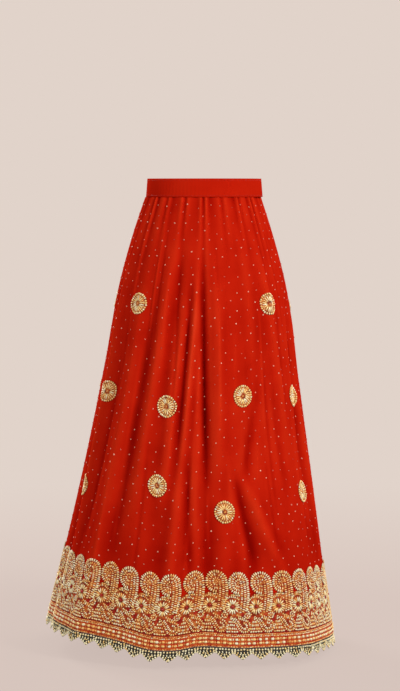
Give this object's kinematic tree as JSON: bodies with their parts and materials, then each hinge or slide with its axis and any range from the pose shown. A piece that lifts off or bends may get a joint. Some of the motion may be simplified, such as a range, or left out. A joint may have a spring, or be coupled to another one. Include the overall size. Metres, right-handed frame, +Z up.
{
  "type": "lehenga skirt",
  "caption": "long A-line lehenga skirt gathered into a waistband, with a scalloped embroidered border, round butis and a pointed lace hem",
  "frame": {"origin": "centre of the waist, level with the top edge of the waistband", "axes": "+Z up, the front faces -Y, +X is the wearer's left"},
  "size_m": [0.6411, 0.5587, 1.0299],
  "materials": {
    "georgette": "soft red georgette with a slight sheen",
    "embroidery": "gold and cream beads and metal thread, satin",
    "lace": "dark net edged with cream beaded cord",
    "hooks": "nickel-plated wire and plate"
  },
  "bodies": {
    "root": {"waistband": "georgette", "placket": "georgette", "front_gore_1": "georgette", "front_gore_2": "georgette", "front_gore_3": "georgette", "front_gore_4": "georgette", "front_gore_5": "georgette", "front_gore_6": "georgette", "back_gore_1": "georgette", "back_gore_2": "georgette", "back_gore_3": "georgette", "back_gore_4": "georgette", "back_gore_5": "georgette", "back_gore_6": "georgette", "front_border": "embroidery", "back_border": "embroidery", "front_lace": "lace", "back_lace": "lace", "waist_bar_upper": "hooks", "waist_bar_lower": "hooks", "waist_hook_upper": "hooks", "waist_hook_lower": "hooks", "buti_01": "embroidery", "buti_02": "embroidery", "buti_03": "embroidery", "buti_04": "embroidery", "buti_05": "embroidery", "buti_06": "embroidery", "buti_07": "embroidery", "buti_08": "embroidery", "buti_09": "embroidery", "buti_10": "embroidery", "buti_11": "embroidery", "buti_12": "embroidery", "buti_13": "embroidery", "buti_14": "embroidery", "buti_15": "embroidery", "buti_16": "embroidery", "buti_17": "embroidery", "buti_18": "embroidery", "buti_19": "embroidery", "buti_20": "embroidery", "buti_21": "embroidery", "buti_22": "embroidery"}
  },
  "joints": []
}
